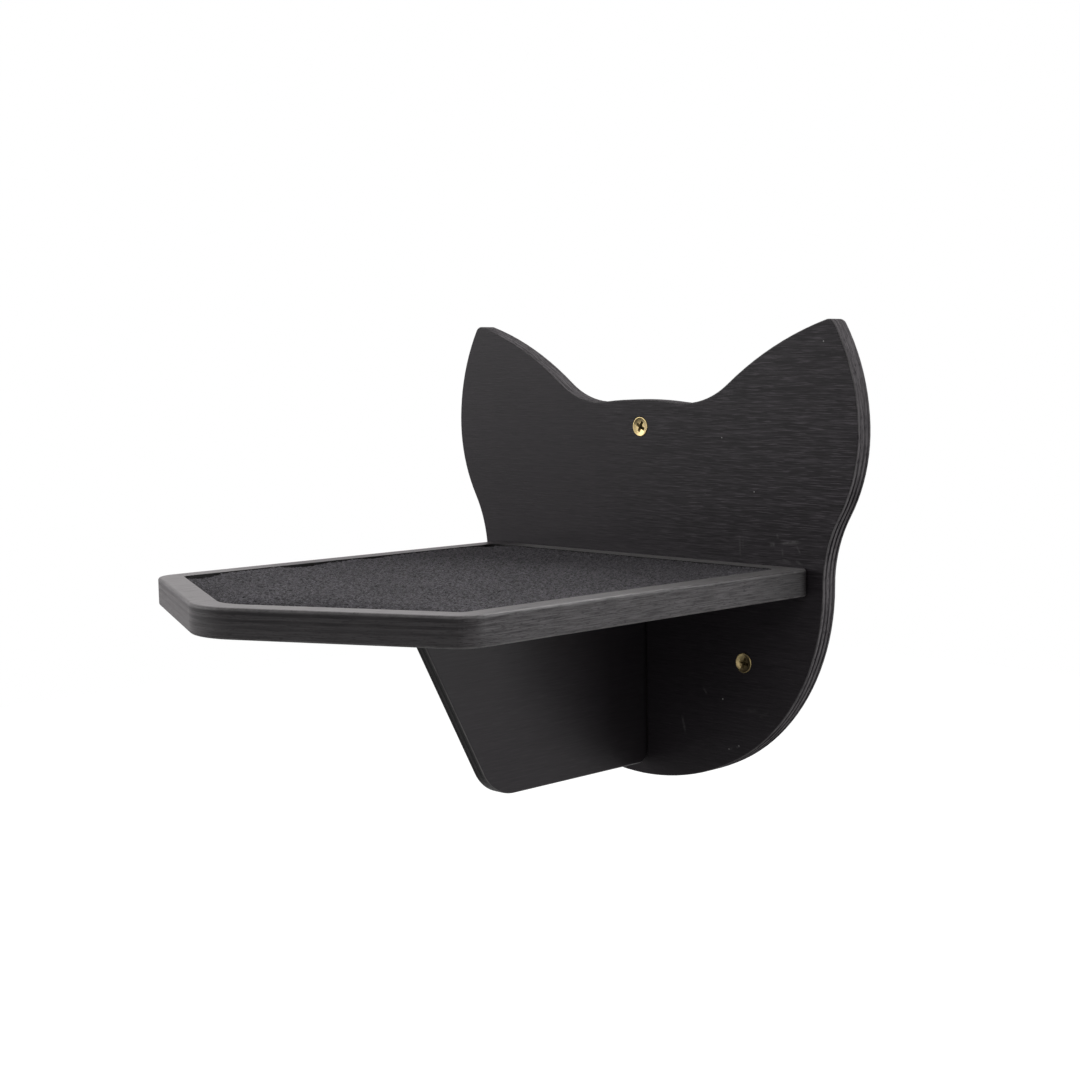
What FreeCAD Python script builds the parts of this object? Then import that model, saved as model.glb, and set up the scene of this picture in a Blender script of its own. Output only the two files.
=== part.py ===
# Cat wall step: a plywood back plate in the outline of a cat's head, a shelf board with a carpet pad
# let into its top, and a gusset bracket below. Millimetres, +Z up. The wall is the plane y = 0, the
# step stands out from it towards -Y, x = 0 is the plane of symmetry and z = 0 is the shelf's top.
import FreeCAD
import Part

import math
import os

import Sketcher
from FreeCAD import Placement, Rotation, Vector

SHEET_NAME = "Sizes"

# Driving dimensions: alias, value in millimetres or degrees, meaning.
SIZES = [
    ("plate_thickness", 9.0, "back plate, seven plies"),
    ("plate_width", 249.8, "over the two cheeks"),
    ("hump_height", 71.4, "top of the plate between the ears, above the shelf's top"),
    ("hump_radius", 209.0, "shallow crown between the ears"),
    ("valley_radius", 43.0, "hollow from the crown into an ear"),
    ("ear_slope_radius", 168.0, "bulging inner side of an ear"),
    ("ear_slope_angle", 16.0, "rise of that side where it reaches the ear's tip"),
    ("ear_tip_inset", 16.3, "centre of an ear's rounded tip, in from the plate's side"),
    ("ear_tip_z", 102.3, "centre of an ear's rounded tip, above the shelf's top"),
    ("ear_tip_radius", 3.9, "rounding of an ear's tip"),
    ("ear_side_radius", 89.0, "outer side of an ear"),
    ("cheek_z", 58.7, "centre of the cheek's round, above the shelf's top"),
    ("cheek_radius", 70.3, "round of the cheek"),
    ("waist_radius", 57.6, "hollow of the waist beside the shelf"),
    ("jaw_inset", 18.3, "widest point of the jaw, in from the plate's side"),
    ("jaw_x", 14.2, "centre of the jaw's round, from the middle"),
    ("chin_depth", 104.2, "bottom of the chin, below the shelf's top"),
    ("chin_radius", 124.0, "round of the chin"),
    ("edge_round", 0.7, "sanded rounding along the plate's and the bracket's edges"),
    ("shelf_thickness", 12.0, "shelf board, nine plies"),
    ("shelf_width", 199.0, "between the shelf's parallel sides"),
    ("shelf_side", 195.0, "length of the shelf's parallel sides"),
    ("shelf_depth", 242.0, "from the plate to the shelf's front point"),
    ("shelf_front_corner", 12.0, "rounding where the shelf's sides turn to its front point"),
    ("shelf_tip_round", 30.0, "rounding of the shelf's front point in plan"),
    ("shelf_rear_corner", 4.0, "rounding of the shelf's two corners at the plate"),
    ("shelf_edge_round", 1.2, "sanded rounding along the shelf's edges"),
    ("rim_width", 10.5, "wood left around the carpet's pocket"),
    ("pocket_depth", 3.0, "depth of the carpet's pocket"),
    ("pocket_corner", 4.0, "rounding of the pocket's four side corners"),
    ("pocket_tip_round", 19.5, "rounding of the pocket's front point in plan"),
    ("carpet_gap", 0.5, "between the carpet's edge and the pocket's wall"),
    ("carpet_thickness", 2.6, "carpet pad, pile included"),
    ("carpet_edge_round", 0.6, "soft upper edge of the carpet"),
    ("bracket_thickness", 6.5, "gusset bracket, five plies"),
    ("bracket_top", 142.6, "length of the bracket under the shelf"),
    ("bracket_foot", 97.5, "length of the bracket's bottom, to the sharp corner"),
    ("bracket_height", 86.0, "height of the bracket below the shelf"),
    ("bracket_front_corner", 20.0, "rounding of the bracket's lower front corner"),
    ("bracket_rear_corner", 6.0, "rounding of the bracket's lower corner at the plate"),
    ("head_rim", 0.4, "straight rim of a countersunk head"),
    ("seat_gap", 0.15, "between a screw head and its countersink"),
    ("shank_gap", 0.25, "around a shank in its clearance hole"),
    ("pilot_gap", 0.1, "around a shank or dowel in the hole that holds it"),
    ("hole_end_gap", 1.0, "empty end of a blind hole"),
    ("head_sink", 0.2, "how far the hidden heads lie below the wood"),
    ("wall_screw_head", 9.0, "wall screw's head diameter"),
    ("wall_screw_shank", 4.5, "wall screw's diameter over its thread"),
    ("wall_screw_neck", 3.3, "wall screw's smooth diameter under the head"),
    ("wall_screw_thread", 30.0, "threaded length, point included"),
    ("wall_screw_length", 50.0, "wall screw's whole length"),
    ("wall_screw_proud", 0.3, "how far a wall screw's head stands out of the plate"),
    ("wall_screw_recess", 4.6, "span of the cross recess in a wall screw"),
    ("wall_screw_slot", 1.3, "width of the arms of that recess"),
    ("wall_screw_recess_depth", 2.3, "depth of that recess"),
    ("wall_screw_point", 5.4, "length of a wall screw's point"),
    ("top_screw_z", 58.9, "upper wall screw, above the shelf's top"),
    ("low_screw_x", 62.0, "lower wall screws, from the middle"),
    ("low_screw_drop", 45.0, "lower wall screws, below the shelf's top"),
    ("shelf_screw_head", 7.0, "head diameter of the screws into the shelf's rear edge"),
    ("shelf_screw_shank", 3.5, "their diameter over the thread"),
    ("shelf_screw_neck", 2.6, "their smooth diameter under the head"),
    ("shelf_screw_thread", 24.0, "their threaded length, point included"),
    ("shelf_screw_length", 40.0, "their whole length"),
    ("shelf_screw_recess", 4.2, "span of their cross recess"),
    ("shelf_screw_slot", 1.2, "width of the arms of that recess"),
    ("shelf_screw_recess_depth", 1.8, "depth of that recess"),
    ("shelf_screw_point", 4.2, "length of their points"),
    ("shelf_screw_x", 75.0, "outer screws into the shelf, from the middle"),
    ("shelf_joint_drop", 7.5, "screws and dowels in the shelf's rear edge, below its top"),
    ("bracket_screw_head", 6.0, "head diameter of the screws into the bracket"),
    ("bracket_screw_shank", 3.0, "their diameter over the thread"),
    ("bracket_screw_neck", 2.2, "their smooth diameter under the head"),
    ("bracket_screw_thread", 18.0, "their threaded length, point included"),
    ("bracket_screw_length", 30.0, "their whole length"),
    ("bracket_screw_recess", 3.4, "span of their cross recess"),
    ("bracket_screw_slot", 1.0, "width of the arms of that recess"),
    ("bracket_screw_recess_depth", 1.6, "depth of that recess"),
    ("bracket_screw_point", 3.6, "length of their points"),
    ("bracket_screw_high", 24.0, "upper rear screw, below the bracket's top"),
    ("bracket_screw_low", 66.0, "lower rear screw, below the bracket's top"),
    ("floor_screw_rear", 48.0, "rear screw through the pocket's floor, from the plate"),
    ("floor_screw_front", 116.0, "front screw through the pocket's floor, from the plate"),
    ("dowel_diameter", 6.0, "registering dowel"),
    ("dowel_length", 24.0, "its whole length"),
    ("dowel_chamfer", 0.8, "bevel of its ends"),
    ("dowel_in_plate", 6.0, "how deep it goes into the plate"),
    ("dowel_x", 38.0, "dowels, from the middle"),
]

V_AXIS, H_AXIS = range(-2, 0)
START, END, CENTRE = range(1, 4)
HUMP, VALLEY, EAR_SLOPE, EAR_TIP, EAR_SIDE, CHEEK, WAIST, JAW, CHIN = range(9)
FLATNESS = 1e-4

# Headings of the screws and dowels, and the angle by which each screw is turned further than the last.
INTO_WALL = Vector(0, 1, 0)
INTO_BOARDS = Vector(0, -1, 0)
DOWN = Vector(0, 0, -1)
SCREW_TURN_STEP_DEG = 37

doc = FreeCAD.newDocument("cat_wall_step")
sheet = doc.addObject("Spreadsheet::Sheet", SHEET_NAME)
for row, (alias, number, meaning) in enumerate(SIZES, start=1):
    sheet.set(f"A{row}", meaning)
    sheet.set(f"B{row}", str(number))
    sheet.setAlias(f"B{row}", alias)
doc.recompute()


def cell(alias):
    """Expression for one of the sheet's sizes."""
    return f"{SHEET_NAME}.{alias}"


HALF_WIDTH = f"{cell('plate_width')} / 2"
EAR_TIP_X = f"({HALF_WIDTH} - {cell('ear_tip_inset')})"
CHEEK_X = f"({HALF_WIDTH} - {cell('cheek_radius')})"
JAW_RADIUS = f"({HALF_WIDTH} - {cell('jaw_inset')} - {cell('jaw_x')})"


def value(expression):
    """Number that an expression stands for."""
    return float(sheet.evalExpression(expression))


def size(alias):
    return value(cell(alias))


def new_body(label):
    body = doc.addObject("PartDesign::Body", label)
    body.Label = label
    return body


def origin_plane(body, role):
    return next(feature for feature in body.Origin.OriginFeatures if feature.Role == role)


def new_sketch(body, name, role, offset=None):
    """Sketch on one of the body's own planes, moved along its normal by an expression."""
    sketch = body.newObject("Sketcher::SketchObject", name)
    sketch.AttachmentSupport = (origin_plane(body, role), "")
    sketch.MapMode = "FlatFace"
    if offset:
        sketch.setExpression("AttachmentOffset.Base.z", offset)
    return sketch


def bind(sketch, expression, kind, *where):
    """Dimension of a sketch, tied to an expression."""
    index = sketch.addConstraint(Sketcher.Constraint(kind, *where, value(expression)))
    sketch.setExpression(f"Constraints[{index}]", expression)


def pin_point(sketch, geometry, point, x, y):
    """Fix a point of a sketch at two expressions, or on an axis where the expression is 0."""
    for expression, kind, axis in ((x, "DistanceX", V_AXIS), (y, "DistanceY", H_AXIS)):
        if expression == "0":
            sketch.addConstraint(Sketcher.Constraint("PointOnObject", geometry, point, axis))
        else:
            bind(sketch, expression, kind, -1, 1, geometry, point)


def add_polygon(sketch, corners):
    """Closed run of straight lines through corners given as pairs of expressions."""
    points = [Vector(value(x), value(y), 0) for x, y in corners]
    lines = []
    for index, start in enumerate(points):
        end = points[(index + 1) % len(points)]
        lines.append(sketch.addGeometry(Part.LineSegment(start, end)))
    for index, line in enumerate(lines):
        follower = lines[(index + 1) % len(lines)]
        sketch.addConstraint(Sketcher.Constraint("Coincident", line, END, follower, START))
    for line, (x, y) in zip(lines, corners):
        pin_point(sketch, line, START, x, y)


def add_circle(sketch, x, y, diameter):
    circle = Part.Circle(Vector(value(x), value(y), 0), Vector(0, 0, 1), value(diameter) / 2)
    index = sketch.addGeometry(circle)
    pin_point(sketch, index, CENTRE, x, y)
    bind(sketch, diameter, "Diameter", index)


def pad(body, sketch, length, upward=True):
    feature = body.newObject("PartDesign::Pad", f"{body.Label}_pad")
    feature.Profile = sketch
    feature.Reversed = not upward
    feature.setExpression("Length", length)
    doc.recompute()
    return feature


def check_cut(body, before):
    """A cut that points away from the wood would remove nothing."""
    doc.recompute()
    if body.Shape.Volume >= before - FLATNESS:
        raise RuntimeError(f"{body.Label}: a cut removed nothing")


def pocket(body, name, sketch, depth, with_normal=False):
    before = body.Shape.Volume
    feature = body.newObject("PartDesign::Pocket", name)
    feature.Profile = sketch
    feature.Reversed = with_normal
    feature.setExpression("Length", depth)
    check_cut(body, before)


def fillet(body, name, radius, wanted):
    """Round the edges of the body that pass a test."""
    base = body.Tip
    edges = base.Shape.Edges
    names = [f"Edge{index}" for index, edge in enumerate(edges, start=1) if wanted(edge)]
    feature = body.newObject("PartDesign::Fillet", name)
    feature.Base = (base, names)
    feature.setExpression("Radius", cell(radius))
    doc.recompute()


def lies_at(edge, axis, level):
    """True for an edge that lies flat in the plane where an axis has this level."""
    box = edge.BoundBox
    low, high = getattr(box, f"{axis}Min"), getattr(box, f"{axis}Max")
    return abs(low - level) < FLATNESS and abs(high - level) < FLATNESS


def runs_along(edge, axis, length):
    """True for a straight edge of this length along an axis."""
    box = edge.BoundBox
    spans = {name: getattr(box, f"{name}Length") for name in "XYZ"}
    return all(abs(span - (length if name == axis else 0)) < FLATNESS for name, span in spans.items())


def countersunk_holes(body, name, sketch, screw, sink, with_normal):
    """Clearance holes through the wood, with a seat for each screw's head."""
    before = body.Shape.Volume
    feature = body.newObject("PartDesign::Hole", name)
    feature.Profile = sketch
    feature.Threaded = False
    feature.DepthType = "ThroughAll"
    feature.HoleCutType = "Countersink"
    feature.HoleCutCustomValues = True
    feature.HoleCutCountersinkAngle = 90
    feature.Reversed = with_normal
    seat = f"{cell(screw + '_head')} + 2 * ({sink} + {cell('head_rim')} + {cell('seat_gap')})"
    feature.setExpression("Diameter", clearance_diameter(screw))
    feature.setExpression("HoleCutDiameter", seat)
    check_cut(body, before)


def clearance_diameter(screw):
    return f"{cell(screw + '_shank')} + 2 * {cell('shank_gap')}"


def pilot_diameter(screw):
    return f"{cell(screw + '_shank')} + 2 * {cell('pilot_gap')}"


def pilot_depth(screw, board):
    """Depth of a screw's hole in the second board, past the board that its head sits in."""
    return f"{cell(screw + '_length')} + {cell('head_sink')} - {board} + {cell('hole_end_gap')}"


def circles_meet(first, first_radius, second, second_radius, side):
    """Point at two distances from two centres, on the left of their line for side 1."""
    line = second - first
    along = (first_radius ** 2 - second_radius ** 2 + line.Length ** 2) / (2 * line.Length)
    across = math.sqrt(first_radius ** 2 - along ** 2)
    ahead = Vector(line).normalize()
    left = Vector(-ahead.y, ahead.x, 0)
    return first + ahead * along + left * (side * across)


def towards(start, goal, distance):
    return start + Vector(goal - start).normalize() * distance


def plate_arcs():
    """Right half of the plate's outline, from the crown down to the chin.

    Each arc is (centre, radius, start, end, turns left), and each is tangent to the next.
    """
    hump_r, valley_r, slope_r = size("hump_radius"), size("valley_radius"), size("ear_slope_radius")
    tip_r, side_r, cheek_r = size("ear_tip_radius"), size("ear_side_radius"), size("cheek_radius")
    waist_r, jaw_r, chin_r = size("waist_radius"), value(JAW_RADIUS), size("chin_radius")
    crown = Vector(0, size("hump_height"), 0)
    foot = Vector(0, -size("chin_depth"), 0)
    hump = crown - Vector(0, hump_r, 0)
    chin = foot + Vector(0, chin_r, 0)
    tip = Vector(value(EAR_TIP_X), size("ear_tip_z"), 0)
    cheek = Vector(value(CHEEK_X), size("cheek_z"), 0)
    lean = math.radians(size("ear_slope_angle"))
    slope_end = tip + Vector(-math.sin(lean), math.cos(lean), 0) * tip_r
    slope = towards(slope_end, tip, slope_r)
    valley = circles_meet(hump, hump_r + valley_r, slope, slope_r + valley_r, 1)
    side = circles_meet(tip, side_r - tip_r, cheek, side_r - cheek_r, -1)
    jaw_rise = math.sqrt((chin_r - jaw_r) ** 2 - size("jaw_x") ** 2)
    jaw = Vector(size("jaw_x"), chin.y - jaw_rise, 0)
    waist = circles_meet(cheek, cheek_r + waist_r, jaw, jaw_r + waist_r, 1)
    hump_end = towards(hump, valley, hump_r)
    valley_end = towards(valley, slope, valley_r)
    tip_end = towards(side, tip, side_r)
    side_end = towards(side, cheek, side_r)
    cheek_end = towards(cheek, waist, cheek_r)
    waist_end = towards(waist, jaw, waist_r)
    jaw_end = towards(chin, jaw, chin_r)
    return [
        (hump, hump_r, crown, hump_end, False),
        (valley, valley_r, hump_end, valley_end, True),
        (slope, slope_r, valley_end, slope_end, False),
        (tip, tip_r, slope_end, tip_end, False),
        (side, side_r, tip_end, side_end, False),
        (cheek, cheek_r, side_end, cheek_end, False),
        (waist, waist_r, cheek_end, waist_end, True),
        (jaw, jaw_r, waist_end, jaw_end, False),
        (chin, chin_r, jaw_end, foot, False),
    ]


def draw_plate_half(sketch):
    """Half outline of the plate: nine tangent arcs, closed by a line on the middle."""
    arcs = plate_arcs()
    turns_left = [arc[4] for arc in arcs]
    for centre, radius, start, end, left in arcs:
        first, last = (start, end) if left else (end, start)
        angles = [math.atan2(point.y - centre.y, point.x - centre.x) for point in (first, last)]
        circle = Part.Circle(centre, Vector(0, 0, 1), radius)
        sketch.addGeometry(Part.ArcOfCircle(circle, angles[0], angles[1]))
    axis_line = sketch.addGeometry(Part.LineSegment(arcs[-1][3], arcs[0][2]))
    for index in range(CHIN):
        leave = END if turns_left[index] else START
        enter = START if turns_left[index + 1] else END
        sketch.addConstraint(Sketcher.Constraint("Tangent", index, leave, index + 1, enter))
    sketch.addConstraint(Sketcher.Constraint("Coincident", CHIN, START, axis_line, START))
    sketch.addConstraint(Sketcher.Constraint("Coincident", axis_line, END, HUMP, END))
    pin_point(sketch, axis_line, START, "0", f"-{cell('chin_depth')}")
    pin_point(sketch, axis_line, END, "0", cell("hump_height"))
    for on_axis in (HUMP, CHIN):
        sketch.addConstraint(Sketcher.Constraint("PointOnObject", on_axis, CENTRE, V_AXIS))
    for arc, radius in [
        (HUMP, cell("hump_radius")),
        (VALLEY, cell("valley_radius")),
        (EAR_SLOPE, cell("ear_slope_radius")),
        (EAR_TIP, cell("ear_tip_radius")),
        (EAR_SIDE, cell("ear_side_radius")),
        (CHEEK, cell("cheek_radius")),
        (WAIST, cell("waist_radius")),
        (JAW, JAW_RADIUS),
        (CHIN, cell("chin_radius")),
    ]:
        bind(sketch, radius, "Radius", arc)
    pin_point(sketch, EAR_TIP, CENTRE, EAR_TIP_X, cell("ear_tip_z"))
    pin_point(sketch, CHEEK, CENTRE, CHEEK_X, cell("cheek_z"))
    bind(sketch, cell("jaw_x"), "DistanceX", -1, 1, JAW, CENTRE)
    tip_step = f"{cell('ear_tip_radius')} * sin({cell('ear_slope_angle')} * 1deg)"
    bind(sketch, tip_step, "DistanceX", EAR_TIP, END, EAR_TIP, CENTRE)


def wall_screw_places():
    """Name, x and z of each wall screw."""
    low_z = f"-{cell('low_screw_drop')}"
    return [
        ("wall_screw_top", "0", cell("top_screw_z")),
        ("wall_screw_left", f"-{cell('low_screw_x')}", low_z),
        ("wall_screw_right", cell("low_screw_x"), low_z),
    ]


def shelf_screw_places():
    """Name and x of each screw from the plate into the shelf's rear edge."""
    return [
        ("shelf_screw_left", f"-{cell('shelf_screw_x')}"),
        ("shelf_screw_middle", "0"),
        ("shelf_screw_right", cell("shelf_screw_x")),
    ]


def dowel_places():
    return [("dowel_left", f"-{cell('dowel_x')}"), ("dowel_right", cell("dowel_x"))]


def bracket_screw_places():
    """Name and depth below the bracket's top of each screw from the plate into the bracket."""
    return [
        ("bracket_screw_upper", cell("bracket_screw_high")),
        ("bracket_screw_lower", cell("bracket_screw_low")),
    ]


def floor_screw_places():
    """Name and distance from the plate of each screw through the pocket's floor."""
    return [
        ("floor_screw_rear", cell("floor_screw_rear")),
        ("floor_screw_front", cell("floor_screw_front")),
    ]


def make_back_plate():
    body = new_body("back_plate")
    thickness = cell("plate_thickness")
    outline = new_sketch(body, "plate_outline", "XZ_Plane")
    draw_plate_half(outline)
    half = pad(body, outline, thickness)
    mirrored = body.newObject("PartDesign::Mirrored", "plate_mirror")
    mirrored.Originals = [half]
    mirrored.MirrorPlane = (origin_plane(body, "YZ_Plane"), [""])
    body.Tip = mirrored
    doc.recompute()
    front = -size("plate_thickness")
    fillet(body, "plate_edge_round", "edge_round",
           lambda edge: lies_at(edge, "Y", front) or lies_at(edge, "Y", 0))

    wall = new_sketch(body, "wall_screw_centres", "XZ_Plane", thickness)
    for _, x, z in wall_screw_places():
        add_circle(wall, x, z, clearance_diameter("wall_screw"))
    countersunk_holes(body, "wall_screw_holes", wall, "wall_screw", f"-{cell('wall_screw_proud')}", False)

    shelf = new_sketch(body, "shelf_screw_centres", "XZ_Plane")
    for _, x in shelf_screw_places():
        add_circle(shelf, x, f"-{cell('shelf_joint_drop')}", clearance_diameter("shelf_screw"))
    countersunk_holes(body, "shelf_screw_holes", shelf, "shelf_screw", cell("head_sink"), True)

    bracket = new_sketch(body, "bracket_screw_centres", "XZ_Plane")
    for _, drop in bracket_screw_places():
        z = f"-({cell('shelf_thickness')} + {drop})"
        add_circle(bracket, "0", z, clearance_diameter("bracket_screw"))
    countersunk_holes(body, "bracket_screw_holes", bracket, "bracket_screw", cell("head_sink"), True)

    dowels = new_sketch(body, "plate_dowel_holes", "XZ_Plane", thickness)
    add_dowel_circles(dowels)
    pocket(body, "plate_dowel_pockets", dowels, f"{cell('dowel_in_plate')} + {cell('hole_end_gap')} / 2")
    return body


def add_dowel_circles(sketch):
    diameter = f"{cell('dowel_diameter')} + 2 * {cell('pilot_gap')}"
    for _, x in dowel_places():
        add_circle(sketch, x, f"-{cell('shelf_joint_drop')}", diameter)


def home_plate_corners(inset):
    """Corners of the shelf's five-sided outline, drawn in by an expression on every side.

    The rear edge lies on the local X axis and the point looks towards -Y.
    """
    half = f"({cell('shelf_width')} / 2)"
    pitch = f"(({cell('shelf_depth')} - {cell('shelf_side')}) / {half})"
    apex = f"({cell('shelf_depth')} - {inset} * sqrt(1 + {pitch} ^ 2))"
    side_x = f"({half} - {inset})"
    side_y = f"({apex} - {pitch} * {side_x})"
    rear = "0" if inset == "0" else f"-{inset}"
    return [
        (f"-{side_x}", rear),
        (side_x, rear),
        (side_x, f"-{side_y}"),
        ("0", f"-{apex}"),
        (f"-{side_x}", f"-{side_y}"),
    ]


def round_front(body, name, upright, corner, tip):
    """Round the upright edges of a five-sided board or pocket, apart from a rear edge in the plane y = 0."""
    fillet(body, f"{name}_corners", corner,
           lambda edge: runs_along(edge, "Z", upright)
           and not lies_at(edge, "X", 0) and not lies_at(edge, "Y", 0))
    fillet(body, f"{name}_tip", tip,
           lambda edge: runs_along(edge, "Z", upright) and lies_at(edge, "X", 0))


def make_shelf_board():
    body = new_body("shelf_board")
    body.setExpression("Placement.Base.y", f"-{cell('plate_thickness')}")
    thickness = cell("shelf_thickness")
    outline = new_sketch(body, "shelf_outline", "XY_Plane")
    add_polygon(outline, home_plate_corners("0"))
    pad(body, outline, thickness, upward=False)
    upright = size("shelf_thickness")
    round_front(body, "shelf", upright, "shelf_front_corner", "shelf_tip_round")
    fillet(body, "shelf_rear_corners", "shelf_rear_corner",
           lambda edge: runs_along(edge, "Z", upright) and lies_at(edge, "Y", 0))
    underside = -upright
    fillet(body, "shelf_edges", "shelf_edge_round",
           lambda edge: lies_at(edge, "Z", 0) or lies_at(edge, "Z", underside))

    recess = new_sketch(body, "carpet_pocket_outline", "XY_Plane")
    add_polygon(recess, home_plate_corners(cell("rim_width")))
    pocket(body, "carpet_pocket", recess, cell("pocket_depth"))
    round_front(body, "carpet_pocket", size("pocket_depth"), "pocket_corner", "pocket_tip_round")

    floor = new_sketch(body, "floor_screw_centres", "XY_Plane", f"-{cell('pocket_depth')}")
    for _, reach in floor_screw_places():
        add_circle(floor, "0", f"-{reach}", clearance_diameter("bracket_screw"))
    countersunk_holes(body, "floor_screw_holes", floor, "bracket_screw", cell("head_sink"), False)

    rear = new_sketch(body, "shelf_pilot_holes", "XZ_Plane")
    for _, x in shelf_screw_places():
        add_circle(rear, x, f"-{cell('shelf_joint_drop')}", pilot_diameter("shelf_screw"))
    pocket(body, "shelf_pilots", rear, pilot_depth("shelf_screw", cell("plate_thickness")), True)

    dowels = new_sketch(body, "shelf_dowel_holes", "XZ_Plane")
    add_dowel_circles(dowels)
    depth = f"{cell('dowel_length')} - {cell('dowel_in_plate')} + {cell('hole_end_gap')}"
    pocket(body, "shelf_dowel_pockets", dowels, depth, True)
    return body


def make_support_bracket():
    body = new_body("support_bracket")
    body.setExpression("Placement.Base.y", f"-{cell('plate_thickness')}")
    body.setExpression("Placement.Base.z", f"-{cell('shelf_thickness')}")
    outline = new_sketch(body, "bracket_outline", "YZ_Plane", f"-{cell('bracket_thickness')} / 2")
    bottom = f"-{cell('bracket_height')}"
    add_polygon(outline, [
        ("0", "0"),
        ("0", bottom),
        (f"-{cell('bracket_foot')}", bottom),
        (f"-{cell('bracket_top')}", "0"),
    ])
    pad(body, outline, cell("bracket_thickness"))

    def crosses_at(edge, y):
        box = edge.BoundBox
        along_x = runs_along(edge, "X", size("bracket_thickness"))
        return along_x and abs(box.YMin - y) < FLATNESS and box.ZMax < -FLATNESS

    fillet(body, "bracket_front_round", "bracket_front_corner",
           lambda edge: crosses_at(edge, -size("bracket_foot")))
    fillet(body, "bracket_rear_round", "bracket_rear_corner", lambda edge: crosses_at(edge, 0))

    half = size("bracket_thickness") / 2

    def is_free_arris(edge):
        on_side = lies_at(edge, "X", half) or lies_at(edge, "X", -half)
        return on_side and not lies_at(edge, "Y", 0) and not lies_at(edge, "Z", 0)

    fillet(body, "bracket_edge_round", "edge_round", is_free_arris)

    rear = new_sketch(body, "bracket_pilot_holes", "XZ_Plane")
    for _, drop in bracket_screw_places():
        add_circle(rear, "0", f"-{drop}", pilot_diameter("bracket_screw"))
    pocket(body, "bracket_pilots", rear, pilot_depth("bracket_screw", cell("plate_thickness")), True)

    top = new_sketch(body, "bracket_top_pilot_holes", "XY_Plane")
    for _, reach in floor_screw_places():
        add_circle(top, "0", f"-{reach}", pilot_diameter("bracket_screw"))
    floor = f"({cell('shelf_thickness')} - {cell('pocket_depth')})"
    pocket(body, "bracket_top_pilots", top, pilot_depth("bracket_screw", floor))
    return body


def make_carpet_pad():
    """Pad that fills the pocket and lies a little below the rim."""
    body = new_body("carpet_pad")
    body.setExpression("Placement.Base.y", f"-{cell('plate_thickness')}")
    body.setExpression("Placement.Base.z", f"-{cell('pocket_depth')}")
    outline = new_sketch(body, "carpet_outline", "XY_Plane")
    add_polygon(outline, home_plate_corners(f"({cell('rim_width')} + {cell('carpet_gap')})"))
    pad(body, outline, cell("carpet_thickness"))
    round_front(body, "carpet", size("carpet_thickness"), "pocket_corner", "pocket_tip_round")
    top = size("carpet_thickness")
    fillet(body, "carpet_soft_edge", "carpet_edge_round", lambda edge: lies_at(edge, "Z", top))
    return body


def revolve(body, sketch):
    feature = body.newObject("PartDesign::Revolution", f"{body.Label}_turned")
    feature.Profile = sketch
    feature.ReferenceAxis = (sketch, ["V_Axis"])
    feature.Angle = 360
    doc.recompute()


def place(body, x, y, z, heading, turn):
    """Put a turned piece at three expressions, with its far end towards a heading."""
    rotation = Rotation(DOWN, heading) * Rotation(DOWN, -turn)
    body.Placement = Placement(Vector(value(x), value(y), value(z)), rotation)
    for axis, expression in zip("xyz", (x, y, z)):
        body.setExpression(f"Placement.Base.{axis}", expression)


def make_screw(label, screw, x, y, z, heading, turn):
    """Countersunk screw with a cross recess and a smooth neck, its thread as a plain cylinder.

    The head's face is at the local origin and the point looks towards -Z.
    """
    body = new_body(label)
    head = f"{cell(screw + '_head')} / 2"
    shank = f"{cell(screw + '_shank')} / 2"
    neck = f"{cell(screw + '_neck')} / 2"
    head_depth = f"({cell('head_rim')} + ({head}) - ({neck}))"
    length = cell(f"{screw}_length")
    thread_start = f"({length} - {cell(screw + '_thread')})"
    thread_end = f"({length} - {cell(screw + '_point')})"
    profile = new_sketch(body, f"{label}_profile", "XZ_Plane")
    add_polygon(profile, [
        ("0", "0"),
        (head, "0"),
        (head, f"-{cell('head_rim')}"),
        (neck, f"-{head_depth}"),
        (neck, f"-{thread_start}"),
        (shank, f"-{thread_start}"),
        (shank, f"-{thread_end}"),
        ("0", f"-{length}"),
    ])
    revolve(body, profile)

    arm = f"{cell(screw + '_recess')} / 2"
    slot = f"{cell(screw + '_slot')} / 2"
    cross = new_sketch(body, f"{label}_recess", "XY_Plane")
    add_polygon(cross, [
        (arm, f"-{slot}"), (arm, slot), (slot, slot), (slot, arm), (f"-{slot}", arm), (f"-{slot}", slot),
        (f"-{arm}", slot), (f"-{arm}", f"-{slot}"), (f"-{slot}", f"-{slot}"), (f"-{slot}", f"-{arm}"),
        (slot, f"-{arm}"), (slot, f"-{slot}"),
    ])
    pocket(body, f"{label}_cross", cross, cell(f"{screw}_recess_depth"))
    place(body, x, y, z, heading, turn)
    return body


def make_dowel(label, x):
    """Plain dowel with bevelled ends, its plate end at the local origin."""
    body = new_body(label)
    radius = f"{cell('dowel_diameter')} / 2"
    bevel = cell("dowel_chamfer")
    narrow = f"({radius} - {bevel})"
    length = cell("dowel_length")
    profile = new_sketch(body, f"{label}_profile", "XZ_Plane")
    add_polygon(profile, [
        ("0", "0"),
        (narrow, "0"),
        (radius, f"-{bevel}"),
        (radius, f"-({length} - {bevel})"),
        (narrow, f"-{length}"),
        ("0", f"-{length}"),
    ])
    revolve(body, profile)
    y = f"{cell('dowel_in_plate')} - {cell('plate_thickness')}"
    place(body, x, y, f"-{cell('shelf_joint_drop')}", INTO_BOARDS, 0)
    return body


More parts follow.
